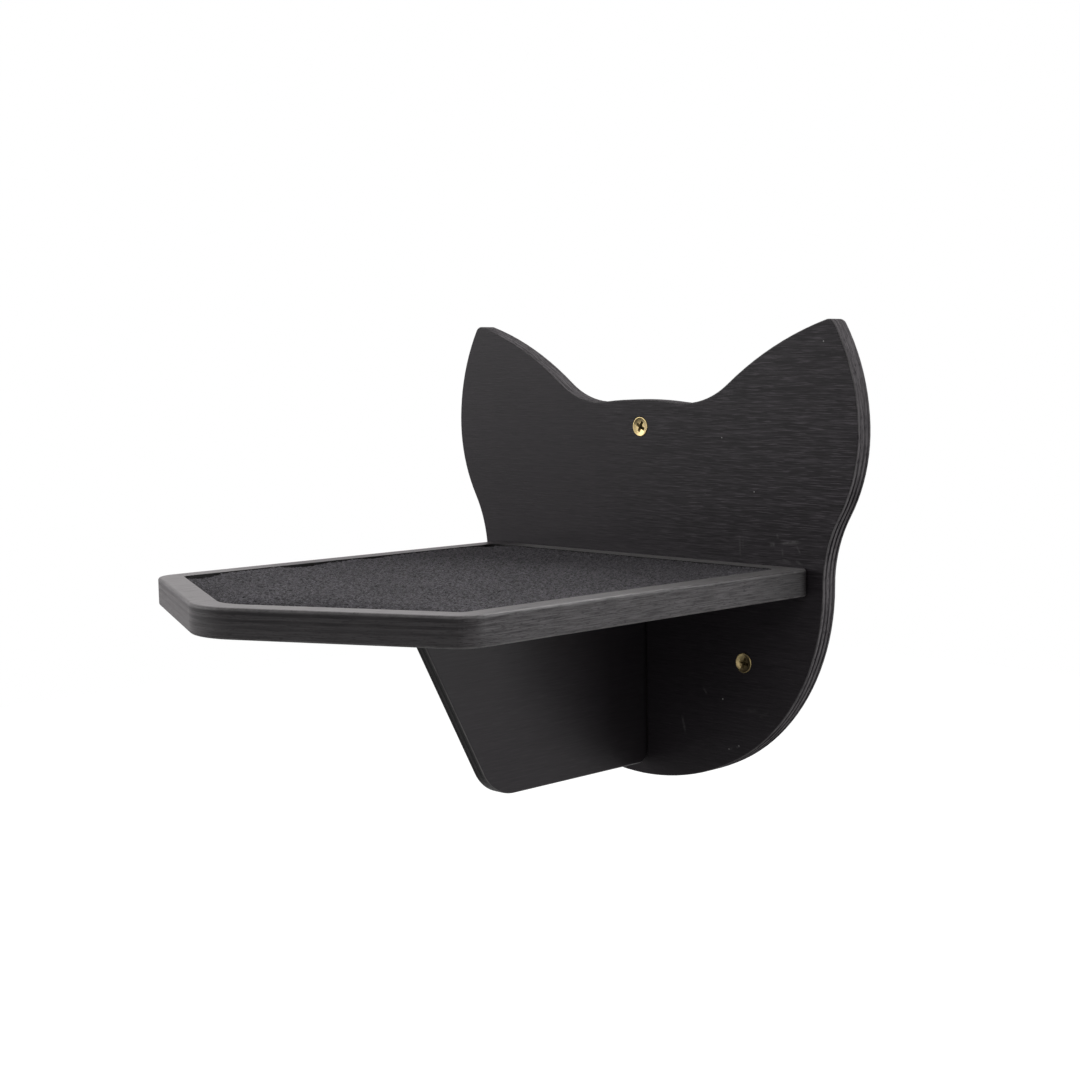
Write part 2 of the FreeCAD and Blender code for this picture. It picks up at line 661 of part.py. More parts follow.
def make_screws():
    """All screws. Each is left at its own angle, as screws driven by hand are."""
    screws = []
    jobs = []
    face = f"-({cell('plate_thickness')} + {cell('wall_screw_proud')})"
    for label, x, z in wall_screw_places():
        jobs.append((label, "wall_screw", x, face, z, INTO_WALL))
    back = f"-{cell('head_sink')}"
    for label, x in shelf_screw_places():
        z = f"-{cell('shelf_joint_drop')}"
        jobs.append((label, "shelf_screw", x, back, z, INTO_BOARDS))
    for label, drop in bracket_screw_places():
        z = f"-({cell('shelf_thickness')} + {drop})"
        jobs.append((label, "bracket_screw", "0", back, z, INTO_BOARDS))
    floor = f"-({cell('pocket_depth')} + {cell('head_sink')})"
    for label, reach in floor_screw_places():
        y = f"-({cell('plate_thickness')} + {reach})"
        jobs.append((label, "bracket_screw", "0", y, floor, DOWN))
    for index, job in enumerate(jobs, start=1):
        screws.append(make_screw(*job, index * SCREW_TURN_STEP_DEG))
    return screws


def check_document():
    """Stop if any feature failed."""
    doc.recompute()
    for item in doc.Objects:
        if "Invalid" in item.State or "Error" in item.State:
            raise RuntimeError(f"{item.Label}: {item.State}")


def write_parts(bodies):
    """Write each piece to its own file, once all of them are sound."""
    for body in bodies:
        shape = body.Shape
        if shape.isNull() or not shape.isValid() or len(shape.Solids) != 1:
            raise RuntimeError(f"{body.Label}: not one valid solid")
    os.makedirs("parts", exist_ok=True)
    for body in bodies:
        body.Shape.exportStep(os.path.join("parts", f"{body.Label}.step"))
        print(body.Label, round(body.Shape.Volume, 1))


pieces = [make_back_plate(), make_shelf_board(), make_support_bracket(), make_carpet_pad()]
pieces += make_screws()
pieces += [make_dowel(label, x) for label, x in dowel_places()]
check_document()
write_parts(pieces)
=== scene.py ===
"""Finish the cat wall step: black-stained plywood boards, felt carpet, plated screws and a studio.

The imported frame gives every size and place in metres. The wall is the plane y = 0, the step stands
out from it towards -Y, and z = 0 is the shelf's top. Shader maths is in millimetres.
"""
import math
import random
from dataclasses import dataclass

import bmesh
import bpy
from mathutils import Matrix, Vector, noise


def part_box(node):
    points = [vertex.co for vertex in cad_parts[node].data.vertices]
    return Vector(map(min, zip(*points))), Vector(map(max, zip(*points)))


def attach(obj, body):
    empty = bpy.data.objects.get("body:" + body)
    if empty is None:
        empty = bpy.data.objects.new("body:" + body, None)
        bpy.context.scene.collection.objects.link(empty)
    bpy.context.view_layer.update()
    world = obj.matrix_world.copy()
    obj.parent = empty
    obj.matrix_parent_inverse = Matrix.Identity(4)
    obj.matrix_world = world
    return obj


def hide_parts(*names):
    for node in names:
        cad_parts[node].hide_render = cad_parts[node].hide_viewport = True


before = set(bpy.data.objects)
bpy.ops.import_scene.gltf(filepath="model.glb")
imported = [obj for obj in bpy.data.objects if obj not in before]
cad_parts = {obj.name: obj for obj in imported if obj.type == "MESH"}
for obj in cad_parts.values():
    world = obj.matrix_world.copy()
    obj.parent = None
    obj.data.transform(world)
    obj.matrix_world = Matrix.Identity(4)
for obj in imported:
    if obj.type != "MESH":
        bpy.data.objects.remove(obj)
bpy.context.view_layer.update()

bl_info = {
    "name": "Cat wall step",
    "version": (1, 0, 0),
    "blender": (4, 5, 0),
    "location": "View3D > Sidebar > Cat step",
    "description": "Finishes, carpet, screws and studio for a plywood cat wall step",
    "category": "Add Mesh",
}

MM = 0.001
BODY = "root"
WHITE = (1.0, 1.0, 1.0, 1.0)
WARM_WHITE = (1.0, 0.96, 0.975, 1.0)


@dataclass
class Board:
    """How a plywood board is cut, stained and worn."""

    grain: str  # the axis that its face grain runs along
    across: str  # the axis that lies across its face grain
    layered: str  # the axis through its plies
    plies: int
    figure: float  # how strongly its face grain shows
    grain_shows: tuple  # between which points along and across the grain it shows fully; it fades outside as painted light
    rough: float  # roughness of its stain and its lacquer
    gloss: float  # how much the stain itself shines
    lacquer: tuple  # how much lacquer its faces and its edges have
    dark_ends: float  # how much darker its ends took the stain
    pale_edges: float  # how pale its edges are
    rubbed: float  # how bare its top is walked
    arris_highlight: float  # how pale its arrises are where no wear is: a painted highlight


EVERYWHERE = ((-999, -900), (-999, -900))
BOARDS = {
    "back_plate": Board(
        grain="X", across="Z", layered="Y", plies=7, figure=1.15,
        grain_shows=((-60, 75), (-15, 25)), rough=0.36, gloss=0.0, lacquer=(0.28, 0.0),
        dark_ends=0.0, pale_edges=1.70, rubbed=0.0, arris_highlight=0.15,
    ),
    "shelf_board": Board(
        grain="Y", across="X", layered="Z", plies=9, figure=0.5,
        grain_shows=EVERYWHERE, rough=0.42, gloss=0.08, lacquer=(0.32, 0.40),
        dark_ends=0.58, pale_edges=0.90, rubbed=0.98, arris_highlight=0.15,
    ),
    "support_bracket": Board(
        grain="Y", across="Z", layered="X", plies=5, figure=0.15,
        grain_shows=EVERYWHERE, rough=0.30, gloss=0.08, lacquer=(0.45, 0.05),
        dark_ends=0.0, pale_edges=0.36, rubbed=0.0, arris_highlight=0.6,
    ),
}

# Places on the shelf in millimetres: how far left and how near to the wall its rim gets painted
# shade in place of pale wear, where the plate's painted shade falls on its edges, where the boards
# meet the plate and painted shade lies in the seam, the pocket's middle and how far an edge has to
# face it to get painted shade; and what the darker ends are multiplied by.
RIM_SHADE_LEFT, RIM_SHADE_REAR = (60.0, 88.0), (-195.0, -130.0)
PLATE_SHADE = (-62.0, -16.0)
PLATE_SEAM = (-11.5, -9.6)
POCKET_MIDDLE = -120.0
FACES_POCKET = (-6.0, -2.0)
END_STAIN = (0.32, 0.32, 0.32)

# Marks of handling on the plate's front, in millimetres across and up: rubs have a start, an end,
# a width and a strength, and chips a place and a radius.
PLATE_RUBS = (
    ((82.3, 9.8), (95.6, 10.8), 0.8, 0.55),
    ((88.5, 11.0), (94.0, 11.6), 0.6, 0.35),
    ((76.7, 8.8), (80.7, 9.4), 1.1, 0.40),
    ((59.8, 13.1), (60.4, 1.1), 0.9, 0.18),
    ((61.9, 11.8), (61.8, 4.7), 0.7, 0.12),
    ((81.2, 14.3), (81.8, 11.3), 0.9, 0.22),
    ((91.8, 9.7), (94.5, 5.5), 0.7, 0.32),
    ((84.0, 8.3), (84.6, 3.6), 0.8, 0.22),
    ((83.5, 3.1), (89.6, 1.7), 0.9, 0.22),
    ((91.2, 3.1), (95.6, 0.8), 0.8, 0.26),
    ((24.7, -72.3), (27.3, -82.7), 1.0, 0.30),
    ((37.7, -58.4), (40.7, -62.2), 0.7, 0.30),
    ((52.9, -85.4), (55.7, -84.8), 0.8, 0.28),
    ((57.5, -84.1), (60.1, -82.8), 0.8, 0.30),
    ((62.8, -66.2), (71.5, -66.1), 1.6, 0.12),
    ((69.8, -68.1), (77.2, -66.3), 1.6, 0.10),
)
PLATE_CHIPS = (
    ((106.4, 96.9), 0.40),
    ((49.7, 55.0), 0.38),
    ((68.3, 31.7), 0.40),
    ((49.7, -62.8), 0.50),
    ((53.3, -85.3), 0.34),
    ((59.2, -83.1), 0.34),
)

# Worn patches of the plating, and the painted shade in the screws' recesses.
WORN_STEEL, PAINTED_RECESS_SHADE = (0.20, 0.17, 0.13), (0.030, 0.024, 0.010)
BEECH, BEECH_RING, BEECH_FLECK = (0.62, 0.42, 0.26), (0.48, 0.29, 0.16), (0.26, 0.13, 0.06)

# Relief of the felt in tufts, bristles and waves: lumps in a millimetre across and along it, the
# slice of noise that they take and their share of the swell.
FELT_RELIEF = ((0.75, 0.65, 3.1, 0.45), (1.4, 1.2, 8.7, 0.75), (0.035, 0.035, 1.9, 0.2))

# Where the pile is pressed down along the carpet's left edge: the place, half the length and the
# depth, and how far that reaches from the edge, in millimetres.
PRESSED = (
    (-190.0, 11.0, 1.5),
    (-136.0, 13.0, 1.3),
    (-97.0, 9.0, 0.6),
    (-118.0, 8.0, 0.5),
    (-25.0, 10.0, 1.0),
)
PRESS_REACH = 15.0

# The pile's drop at its edges and how far in that reaches, and half of its narrowest row, in
# millimetres, and how far the cut edge strays as a share of the width.
EDGE_DROP, EDGE_REACH, NARROWEST = 0.4, 1.2, 0.05
FRAY = 0.0016

# Loose fibres: the seed of their places, the rings of points along one, their distance from the
# carpet's edge, their curl in radians, and their length, lift and half thickness in millimetres.
FIBRE_SEED, FIBRE_RINGS, FIBRE_MARGIN, FIBRE_CURL = 11, 4, 0.8, (-1.3, 1.3)
FIBRE_LENGTH, FIBRE_LIFT, FIBRE_THICK = (0.5, 1.5), (0.1, 0.7), (0.025, 0.05)


@dataclass
class Screw:
    """Sizes of a countersunk screw in millimetres."""

    shank: float  # diameter over the thread
    neck: float  # diameter of the plain part
    thread: float  # length of the thread behind the point
    point: float  # length of the point
    pitch: float
    recess: tuple  # span, slot and depth of the cross recess


WALL_SCREW = Screw(
    shank=4.5, neck=3.3, thread=24.6, point=5.4, pitch=2.2, recess=(5.2, 1.5, 2.3)
)
SHELF_SCREW = Screw(
    shank=3.5, neck=2.6, thread=24.0, point=4.2, pitch=1.8, recess=(4.2, 1.2, 1.8)
)
BRACKET_SCREW = Screw(
    shank=3.0, neck=2.2, thread=18.0, point=3.6, pitch=1.5, recess=(3.4, 1.0, 1.6)
)
INTO_WALL, INTO_BOARDS, DOWN = Vector((0, 1, 0)), Vector((0, -1, 0)), Vector((0, 0, -1))

# Screw: its sizes, the way it points and its turn in degrees.
WALL_SCREWS = {
    "wall_screw_top": (WALL_SCREW, INTO_WALL, 27),
    "wall_screw_left": (WALL_SCREW, INTO_WALL, 61),
    "wall_screw_right": (WALL_SCREW, INTO_WALL, 20),
}
JOINT_SCREWS = {
    "shelf_screw_left": (SHELF_SCREW, INTO_BOARDS, 15),
    "shelf_screw_middle": (SHELF_SCREW, INTO_BOARDS, 52),
    "shelf_screw_right": (SHELF_SCREW, INTO_BOARDS, 78),
    "bracket_screw_upper": (BRACKET_SCREW, INTO_BOARDS, 33),
    "bracket_screw_lower": (BRACKET_SCREW, INTO_BOARDS, 7),
    "floor_screw_rear": (BRACKET_SCREW, DOWN, 44),
    "floor_screw_front": (BRACKET_SCREW, DOWN, 81),
}

# Thread: points along a pitch, the share of the neck that is cut away, how wide the ridge is and
# how soon it is at full height, both as shares of a pitch, and how full the point is.
THREAD_SLICES, THREAD_CUT, RIDGE_WIDTH, LEAD_IN, POINT_FULLNESS = 14, 0.14, 0.55, 0.9, 0.8
WELD = 0.002 * MM
CREASE = math.radians(32)

# Softbox: its place and the length of its sides in metres.
SOFTBOXES = {
    "key": ((-1.40, -1.25, 0.60), 1.3),
    "front": ((0.90, -1.50, 0.90), 1.0),
    "right": ((1.35, 0.70, 0.30), 0.8),
    "back": ((0.10, 1.35, 0.90), 1.4),
}
SOFTBOX_AIM = Vector((0, -0.1, 0))
FLOOR_REACH = 3.0
FLOOR_GLOW = {"Is Glossy Ray": 0.1, "Is Camera Ray": 0.92}
SURROUND = {"Is Glossy Ray": WARM_WHITE, "Is Camera Ray": WHITE, "Is Transmission Ray": WHITE}
SENSOR_WIDTH = 36.0


class Level:
    """A socket's value, on which Python arithmetic adds Math nodes."""

    def __init__(self, finish, socket):
        self.finish = finish
        self.socket = socket

    def other(self, name):
        """Another output of the same node."""
        return Level(self.finish, self.socket.node.outputs[name])

    def math(self, operation, first, second=0.0):
        return self.finish.add(
            "ShaderNodeMath", {"operation": operation}, {"Value": first, "Value_001": second}
        )

    def __add__(self, more):
        return self.math("ADD", self, more)

    __radd__ = __add__

    def __sub__(self, less):
        return self.math("SUBTRACT", self, less)

    def __rsub__(self, whole):
        return self.math("SUBTRACT", whole, self)

    def __mul__(self, times):
        return self.math("MULTIPLY", self, times)

    __rmul__ = __mul__

    def __truediv__(self, parts):
        return self.math("DIVIDE", self, parts)

    def __rtruediv__(self, whole):
        return self.math("DIVIDE", whole, self)

    def __neg__(self):
        return self.math("MULTIPLY", self, -1.0)

    def __abs__(self):
        return self.math("ABSOLUTE", self)

    def sine(self):
        return self.math("SINE", self)

    def most(self, other):
        return self.math("MAXIMUM", self, other)

    def between(self, low, high):
        """0 below low, 1 above high, and a soft step between them."""
        return self.finish.add(
            "ShaderNodeMapRange",
            {"interpolation_type": "SMOOTHSTEP"},
            {"Value": self, "From Min": low, "From Max": high},
        )


class Finish:
    """A node tree and the few ways in which nodes are added to it."""

    def __init__(self, tree, block):
        self.tree = tree
        self.block = block

    @classmethod
    def material(cls, name):
        block = bpy.data.materials.new(name)
        block.use_nodes = True
        return cls(block.node_tree, block)

    def connect(self, node, sockets):
        """Links into a node's sockets where a Level is given, and plain values elsewhere."""
        inputs = {socket.identifier: socket for socket in node.inputs}
        for name, value in sockets.items():
            if isinstance(value, Level):
                self.tree.links.new(value.socket, inputs[name])
            else:
                inputs[name].default_value = value

    def add(self, kind, settings=None, sockets=None):
        """A node of this kind, its settings first and then its sockets' values or links."""
        node = self.tree.nodes.new(kind)
        for name, value in (settings or {}).items():
            setattr(node, name, value)
        self.connect(node, sockets or {})
        return Level(self, next(socket for socket in node.outputs if socket.enabled))

    def shade(self, sockets):
        """Values and links of the material's own surface shader."""
        self.connect(self.tree.nodes["Principled BSDF"], sockets)

    def split(self, vector):
        parts = self.add("ShaderNodeSeparateXYZ", None, {"Vector": vector})
        return {"X": parts, "Y": parts.other("Y"), "Z": parts.other("Z")}

    def point(self):
        """The place on the surface as a vector, in millimetres of the frame."""
        place = self.add("ShaderNodeTexCoord").other("Object")
        return self.add(
            "ShaderNodeVectorMath", {"operation": "SCALE"}, {"Vector": place, "Scale": 1000.0}
        )

    def facing(self):
        """The way that the surface faces, in parts."""
        return self.split(self.add("ShaderNodeNewGeometry").other("True Normal"))

    def dot(self, vector, direction):
        return self.add(
            "ShaderNodeVectorMath",
            {"operation": "DOT_PRODUCT"},
            {"Vector": vector, "Vector_001": direction},
        )

    def cloud(self, x, y, z, detail=2.0, rough=0.5):
        """Smooth noise from 0 to 1 whose lumps are about one unit of x, y and z."""
        spot = self.add("ShaderNodeCombineXYZ", None, {"X": x, "Y": y, "Z": z})
        return self.add(
            "ShaderNodeTexNoise",
            {"noise_dimensions": "3D"},
            {"Vector": spot, "Scale": 1.0, "Detail": detail, "Roughness": rough},
        )

    def specks(self, point, scale, size, chance):
        """Round spots in a few cells of a pattern, each soft between two sizes."""
        cell = self.add(
            "ShaderNodeTexVoronoi", {"feature": "F1"}, {"Vector": point, "Scale": scale}
        )
        lot = self.add("ShaderNodeSeparateColor", None, {"Color": cell.other("Color")})
        return (1 - cell.between(*size)) * lot.between(*chance)

    def blend(self, first, second, share, way="MIX"):
        """Two colours mixed, or laid over each other in another way."""
        return self.add(
            "ShaderNodeMix",
            {"data_type": "RGBA", "blend_type": way},
            {"Factor_Float": share, "A_Color": rgba(first), "B_Color": rgba(second)},
        )

    def where(self, ray, others, chosen):
        """One shader for a kind of ray, and another for the rest."""
        share = self.add("ShaderNodeLightPath").other(ray)
        return self.add(
            "ShaderNodeMixShader", None, {"Fac": share, "Shader": others, "Shader_001": chosen}
        )

    def relief(self, height, depth):
        """A normal for a height from 0 to 1 that stands for a depth in millimetres."""
        return self.add(
            "ShaderNodeBump", None, {"Height": height, "Strength": 1.0, "Distance": depth * MM}
        )


def rgba(colour):
    """A colour with its alpha, or the link that carries it."""
    return colour if isinstance(colour, Level) else (*colour[:3], 1.0)


def colour_property(name, description, default):
    return bpy.props.FloatVectorProperty(
        name=name, description=description, default=default, subtype="COLOR", min=0.0, max=1.0
    )


def length_property(name, description, default):
    return bpy.props.FloatProperty(
        name=name, description=description, default=default, unit="LENGTH", precision=5
    )


def power_property(name, description, default):
    return bpy.props.FloatProperty(
        name=name, description=description, default=default, unit="POWER"
    )


def angle_property(name, description, degrees):
    return bpy.props.FloatProperty(
        name=name, description=description, default=math.radians(degrees), subtype="ANGLE"
    )


class CATSTEP_PG_boards(bpy.types.PropertyGroup):
    """Colours and grain of the stained boards."""

    stain: colour_property("Stain", "Black stain between the fibres", (0.0090, 0.0077, 0.0091))
    fibre: colour_property("Fibre", "Stained wood on the raised fibres", (0.066, 0.0585, 0.0660))
    long_ply: colour_property("Long plies", "Plies cut along the grain", (0.085, 0.0797, 0.0830))
    end_ply: colour_property("End plies", "Plies cut across the grain", (0.007, 0.0064, 0.0072))
    # The worn colour also paints the highlight along the arrises.
    worn: colour_property("Worn wood", "Wood that shows where it is worn", (0.16, 0.155, 0.155))
    dust: colour_property("Dust", "Chips and dust on the faces", (0.55, 0.54, 0.54))
    # Painted shade: this colour lies in the seams against the plate, on the shelf's edges near the
    # plate and on the pocket's walls.
    seam: colour_property("Seams", "Shade in the seams against the plate", (0.002, 0.002, 0.002))
    fibre_spacing: length_property("Fibre spacing", "Distance between lines of grain", 1.15 * MM)


class CATSTEP_PG_carpet(bpy.types.PropertyGroup):
    """Colours and sizes of the carpet."""

    felt: colour_property("Felt", "Charcoal felt between the tufts", (0.0075, 0.0068, 0.0081))
    tuft: colour_property("Tufts", "Lit tips of the felt", (0.110, 0.1020, 0.1170))
    fleck: colour_property("Flecks", "Pale fibres in the felt", (0.30, 0.29, 0.31))
    grid: length_property("Grid", "Distance between the points of its surface", 0.55 * MM)
    swell: length_property("Swell", "Height of the tufts", 0.9 * MM)
    shoulder: length_property("Shoulder", "Where the sides turn to the front point", -197.0 * MM)
    tip: length_property("Tip", "Where the two front edges would meet", -238.8 * MM)
    corner: length_property("Corner", "Radius of the cut corners at the sides", 4.0 * MM)
    tip_round: length_property("Tip round", "Radius of the cut at the front point", 19.5 * MM)
    fibres: bpy.props.IntProperty(
        name="Loose fibres", description="Number of fibres that stand out of it", default=12000
    )


class CATSTEP_PG_screws(bpy.types.PropertyGroup):
    """Platings of the screws."""

    yellow: colour_property("Yellow zinc", "Plating of the wall screws", (0.47, 0.38, 0.18))
    yellow_tint: colour_property("Yellow tint", "Patches in that plating", (0.38, 0.29, 0.16))
    bright: colour_property("Bright zinc", "Plating of the joint screws", (0.66, 0.67, 0.69))
    bright_tint: colour_property("Bright tint", "Patches in that plating", (0.50, 0.52, 0.56))


class CATSTEP_PG_stage(bpy.types.PropertyGroup):
    """Floor, light and camera."""

    floor: colour_property("Floor", "Pale studio floor", (0.45, 0.45, 0.45))
    floor_height: length_property("Floor height", "Level of the floor below the shelf", -0.62)
    ambient: bpy.props.FloatProperty(
        name="Ambient", description="Light from the white surround", default=0.20, min=0.0
    )
    key: power_property("Key", "Softbox at the left", 14.0)
    front: power_property("Front", "Softbox in front", 5.0)
    right: power_property("Right", "Low softbox at the right", 10.0)
    back: power_property("Back", "Softbox above and behind", 36.0)
    eye: bpy.props.FloatVectorProperty(
        name="Eye", description="Place of the camera", default=(0.59257, -0.63851, 0.09025),
        subtype="TRANSLATION", unit="LENGTH",
    )
    azimuth: angle_property("Azimuth", "Camera's turn about the upright axis", 42.39)
    elevation: angle_property("Elevation", "Camera's height over the level", 6.90)
    roll: angle_property("Roll", "Camera's tilt in the picture", -0.40)
    lens: bpy.props.FloatProperty(
        name="Lens", description="Focal length on a 36 mm sensor", default=62.233, unit="CAMERA"
    )
    shift: bpy.props.FloatVectorProperty(
        name="Shift", description="Camera shift across and up", default=(-0.1204, 0.0407), size=2
    )


def new_object(name, mesh, material):
    """A piece of the step, on its body and in its material."""
    piece = bpy.data.objects.new(name, mesh)
    bpy.context.scene.collection.objects.link(piece)
    mesh.materials.append(material)
    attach(piece, BODY)
    return piece


def dress_node(node, material):
    """A new material on a CAD node."""
    slots = bpy.data.objects[node].material_slots
    if not slots:
        raise RuntimeError(f"{node} has no place for a material")
    for slot in slots:
        slot.material = material


def rub(finish, point, start, end, width):
    """A soft stroke on the plate's front from start to end."""
    run = Vector((end[0] - start[0], 0, end[1] - start[1]))
    length = run.length
    run.normalize()
    along = finish.dot(point, run) - run.dot((start[0], 0, start[1]))
    side = Vector((-run.z, 0, run.x))
    off = abs(finish.dot(point, side) - side.dot((start[0], 0, start[1])))
    return (
        (1 - off.between(width * 0.2, width))
        * along.between(0, length * 0.3)
        * (1 - along.between(length * 0.6, length))
    )


def chip(finish, point, place, radius):
    """A small bright spot on the plate's front."""
    far = finish.add(
        "ShaderNodeVectorMath",
        {"operation": "DISTANCE"},
        {"Vector": point, "Vector_001": (place[0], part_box("back_plate")[0].y / MM, place[1])},
    ).other("Value")
    return 1 - far.between(radius * 0.5, radius)


class StainedBoard:
    """Black stain on a plywood board: grain on its faces, plies on its edges, worn arrises; painted
    highlight and shade.
    """

    def __init__(self, node, board, colours):
        self.node, self.board, self.colours = node, board, colours
        self.finish = Finish.material(f"{node}_stain")
        self.point = self.finish.point()
        self.place, self.facing = self.finish.split(self.point), self.finish.facing()
        self.run, self.cross = self.place[board.grain], self.place[board.across]
        self.depth = self.place[board.layered]
        self.turned = abs(self.facing[board.layered])
        self.edge = 1 - self.turned.between(0.35, 0.75)
        self.patch = self.cloud(0.02, 0.03, 0.03)

    def cloud(self, run, cross, depth, detail=2.0, rough=0.5):
        """Noise with so many lumps in a millimetre along, across and through the board."""
        return self.finish.cloud(
            self.run * run, self.cross * cross, self.depth * depth, detail, rough
        )

    def grain_lines(self):
        """Lines of face grain: pale streaks and hairs, and dark pores."""
        lines = MM / self.colours.fibre_spacing
        waver = self.cloud(0.010, 0.02, 0.02, 1.0) - 0.5
        course, layer = (self.cross + waver) * lines, self.depth * lines
        cloud, run = self.finish.cloud, self.run
        streak = cloud(run * 0.03, course * 1.1, layer, 2.0, 0.6).between(0.35, 0.65)
        hair = cloud(run * 0.11, course * 2.8, layer + 7.0, 1.0).between(0.53, 0.67)
        pore = cloud(run * 0.10, course * 2.5, layer + 23.0, 1.0).between(0.54, 0.68)
        return streak * 0.35 + hair * 0.70 - pore * 0.50 - 0.22

    def face_colour(self, line, tone):
        """Stain on the fibres, and bare wood where the top is walked on, with painted shade on the
        rim's left rear.
        """
        finish, colours, patch = self.finish, self.colours, self.patch
        colour = finish.blend(colours.stain, colours.fibre, tone * (patch * 0.7 + 0.6))
        if self.board.rubbed:
            # Painted shade: the rim's left side near the wall, which the plate shades, keeps less of
            # the pale walked wear.
            rim_shade = (-self.place["X"]).between(*RIM_SHADE_LEFT) * self.place["Y"].between(*RIM_SHADE_REAR)
            walked = self.facing["Z"].between(0.6, 0.95) * (1 - rim_shade * 0.95)
            bared = walked * (patch * 0.4 + line * 1.1 + 0.85) * self.board.rubbed
            colour = finish.blend(colour, colours.worn, bared)
        return colour

    def ply_bands(self, through):
        """Dark bands of the plies cut across the grain, clearest on edges that face down."""
        run, cross = self.run, self.cross
        drift = self.finish.cloud(run * 0.018, cross * 0.018, 0.0, 1.0) - 0.5
        ply = through * self.board.plies + drift * 0.35
        end_ply = (-(ply * math.pi).sine()).between(-0.10, 0.45)
        fade = self.finish.cloud(run * 0.03, cross * 0.03, 5.0).between(0.30, 0.62)
        under = 1 - self.facing["Z"].between(-0.30, 0.35)
        return end_ply * (fade * 0.4 + 0.6) * (under * 0.75 + 0.25)

    def cut_edge(self):
        """Colour of the sawn edges, and their bands, strands and pores."""
        finish, board, colours = self.finish, self.board, self.colours
        low, high = (corner["XYZ".index(board.layered)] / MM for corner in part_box(self.node))
        through = (self.depth - low) / (high - low)
        band = self.ply_bands(through)
        strand = self.cloud(0.07, 0.07, 2.2, 3.0, 0.65).between(0.38, 0.64)
        pore = self.cloud(0.35, 0.35, 2.4, 2.0, 0.6).between(0.56, 0.67)
        if board.dark_ends:
            ends = 1 - abs(self.facing[board.across]).between(0.55, 0.95)
            band = band * (ends * 0.85 + 0.15) * through.between(0.1, 0.75)
            strand = strand * (1 - ends * 0.45)
            pore = pore * (1 - ends * 0.35)
        colour = finish.blend(colours.long_ply, colours.end_ply, band)
        colour = finish.blend(colour, colours.end_ply, strand * 0.62)
        colour = finish.blend(colour, colours.stain, pore * 0.8)
        colour = finish.blend(colour, (board.pale_edges,) * 3, 1.0, "MULTIPLY")
        if board.dark_ends:
            # Painted shade of the plate, laid on the shelf's edges near the wall.
            shade = self.place["Y"].between(*PLATE_SHADE)
            colour = finish.blend(colour, colours.seam, shade * 0.6)
            colour = finish.blend(colour, END_STAIN, ends * board.dark_ends, "MULTIPLY")
        return colour, band, strand, pore

    def pocket_shade(self):
        """Where an edge of the shelf faces the middle of its pocket: the walls that get painted
        shade.
        """
        across, along = self.place["X"], self.place["Y"] - POCKET_MIDDLE
        outward = self.facing["X"] * across + self.facing["Y"] * along
        return self.edge * (1 - outward.between(*FACES_POCKET))

    def handled_front(self, base, marks):
        """The plate's colour with its rubs, and its marks with its chips."""
        front = (-self.facing["Y"]).between(0.9, 0.95)
        for spot, radius in PLATE_CHIPS:
            marks = marks.most(chip(self.finish, self.point, spot, radius) * front * 0.6)
        broken = self.cloud(0.45, 0.8, 0.8, 3.0, 0.7).between(0.40, 0.62)
        for start, end, width, strength in PLATE_RUBS:
            stroke = rub(self.finish, self.point, start, end, width) * front * strength
            base = self.finish.blend(base, self.colours.worn, stroke * (broken * 0.55 + 0.45))
        return base, marks

    def material(self):
        """The board's material, with all of these."""
        finish, board, colours = self.finish, self.board, self.colours
        edge, turned = self.edge, self.turned
        line = self.grain_lines()
        # Painted light: the plate's grain fades to the left, where it catches a brighter reflection,
        # and low down, where the shelf shades it.
        along, up = board.grain_shows
        clear = (self.run.between(*along) * 0.85 + 0.15) * (self.cross.between(*up) * 0.8 + 0.2)
        tone = (line * board.figure - 0.05) * clear + 0.31
        edge_colour, band, strand, pore = self.cut_edge()
        base = finish.blend(self.face_colour(line, tone), edge_colour, edge)
        if board.rubbed:
            # Painted shade on the pocket's walls under the rim.
            base = finish.blend(base, colours.seam, self.pocket_shade() * 0.9)
        arris = turned.between(0.10, 0.40) * (1 - turned.between(0.80, 0.97))
        wear = self.cloud(0.12, 0.12, 0.12, 3.0, 0.7).between(0.30, 0.70)
        # The arrises paler: worn in patches, and a painted highlight along all of them.
        base = finish.blend(base, colours.worn, arris * (wear * 0.5 + board.arris_highlight))
        marks = finish.specks(self.point, 0.05, (0.008, 0.014), (0.74, 0.75)) * 0.4
        if self.node == "back_plate":
            base, marks = self.handled_front(base, marks)
        else:
            # Painted shade in the seam where the shelf and the bracket meet the plate.
            seam = self.place["Y"].between(*PLATE_SEAM)
            base = finish.blend(base, colours.seam, seam * 0.9)
        base = finish.blend(base, colours.dust, marks)

        height = finish.add(
            "ShaderNodeMix",
            {"data_type": "FLOAT"},
            {
                "Factor_Float": edge,
                "A_Float": line * board.figure,
                "B_Float": strand * 0.6 - pore * 0.5 - band * 0.5,
            },
        )
        rough = board.rough - tone * 0.06 + edge * 0.04 + self.patch * 0.08 + marks * 0.3
        on_faces, on_edges = board.lacquer
        lacquer = on_faces + edge * (on_edges - on_faces)
        finish.shade(
            {
                "Base Color": base,
                "Roughness": rough,
                "Specular IOR Level": board.gloss,
                "Coat Weight": lacquer * (1 - edge * (band * 0.3 + strand * 0.5)),
                "Coat Roughness": board.rough,
                "Normal": finish.relief(height, 0.04),
            }
        )
        return finish.block


